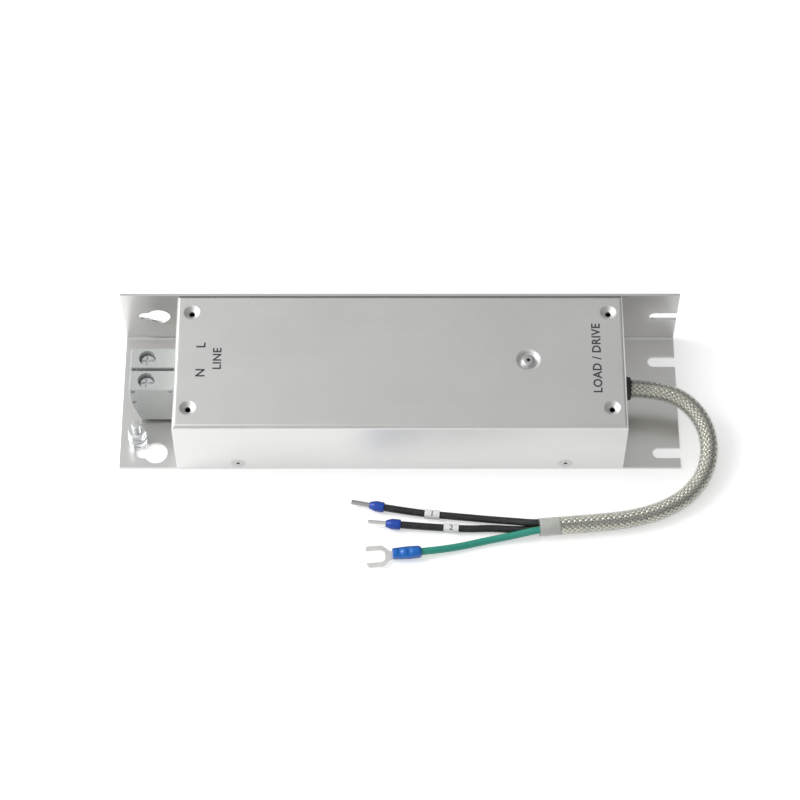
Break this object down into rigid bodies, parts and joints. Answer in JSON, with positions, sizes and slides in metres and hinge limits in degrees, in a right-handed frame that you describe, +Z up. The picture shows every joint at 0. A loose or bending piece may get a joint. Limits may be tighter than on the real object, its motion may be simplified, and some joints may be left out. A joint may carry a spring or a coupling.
{
  "type": "emi line filter",
  "caption": "Single phase line filter in a folded sheet housing for base or side mounting, with screw terminals, an earth stud and a screened output cable.",
  "frame": {"origin": "centre of the mounting surface under the housing, at the middle of its length and of its width over the back wall", "axes": "+X along the housing from the terminals to the cable, +Y from the front wall to the back wall, +Z up from the base to the lid"},
  "size_m": [0.266, 0.1191, 0.037],
  "materials": {
    "chassis_sheet": "plain rolled sheet, satin",
    "cover_sheet": "plain rolled sheet, satin",
    "rivet": "satin",
    "terminal_plastic": "moulded grey polyamide",
    "bright_zinc": "bright zinc plate",
    "copper": "tinned or enamelled copper",
    "black_rubber": "moulded",
    "braid": "tinned copper braid under a clear sleeve",
    "clear_sleeve": "clear soft sleeve",
    "black_insulation": "soft PVC",
    "green_insulation": "soft PVC with a yellow stripe",
    "white_marker": "soft sleeve",
    "blue_collar": "moulded polypropylene",
    "tinned": "tinned copper",
    "blue_sleeve": "translucent vinyl",
    "board": "coated glass laminate",
    "black_plastic": "moulded",
    "ferrite": "coated ferrite ring",
    "capacitor_case": "moulded case",
    "resistor_coat": "lacquered"
  },
  "bodies": {
    "root": {"chassis": "chassis_sheet", "cover": "cover_sheet", "front_rivets": "rivet", "back_rivets": "rivet", "lid_rivet": "rivet", "terminal_housing_line": "terminal_plastic", "terminal_housing_neutral": "terminal_plastic", "terminal_cage_line": "bright_zinc", "terminal_cage_neutral": "bright_zinc", "current_bar_line": "copper", "current_bar_neutral": "copper", "terminal_screws": "bright_zinc", "earth_stud": "bright_zinc", "earth_lock_washer": "bright_zinc", "earth_nuts": "bright_zinc", "earth_washers": "bright_zinc", "earth_spring_washer": "bright_zinc", "cable_bush": "black_rubber", "cable_held_end": "braid", "screened_cable": "braid", "end_sleeve": "clear_sleeve", "black_lead_one": "black_insulation", "black_lead_two": "black_insulation", "earth_lead": "green_insulation", "wire_marker_one": "white_marker", "wire_marker_two": "white_marker", "ferrule_collar_one": "blue_collar", "ferrule_collar_two": "blue_collar", "ferrule_pin_one": "tinned", "ferrule_pin_two": "tinned", "fork_terminal": "tinned", "fork_sleeve": "blue_sleeve", "circuit_board": "board", "board_standoffs": "bright_zinc", "board_screws": "bright_zinc", "choke_base": "black_plastic", "choke_core": "ferrite", "choke_winding_line": "copper", "choke_winding_neutral": "copper", "line_capacitor_in": "capacitor_case", "line_capacitor_out": "capacitor_case", "earth_capacitor_line": "capacitor_case", "earth_capacitor_neutral": "capacitor_case", "bleed_resistor": "resistor_coat", "link_line": "copper", "link_neutral": "copper", "screen_bracket": "bright_zinc", "screen_saddle": "bright_zinc", "saddle_screws": "bright_zinc", "inner_wire_line": "black_insulation", "inner_wire_neutral": "black_insulation", "inner_wire_earth": "green_insulation"}
  },
  "joints": []
}
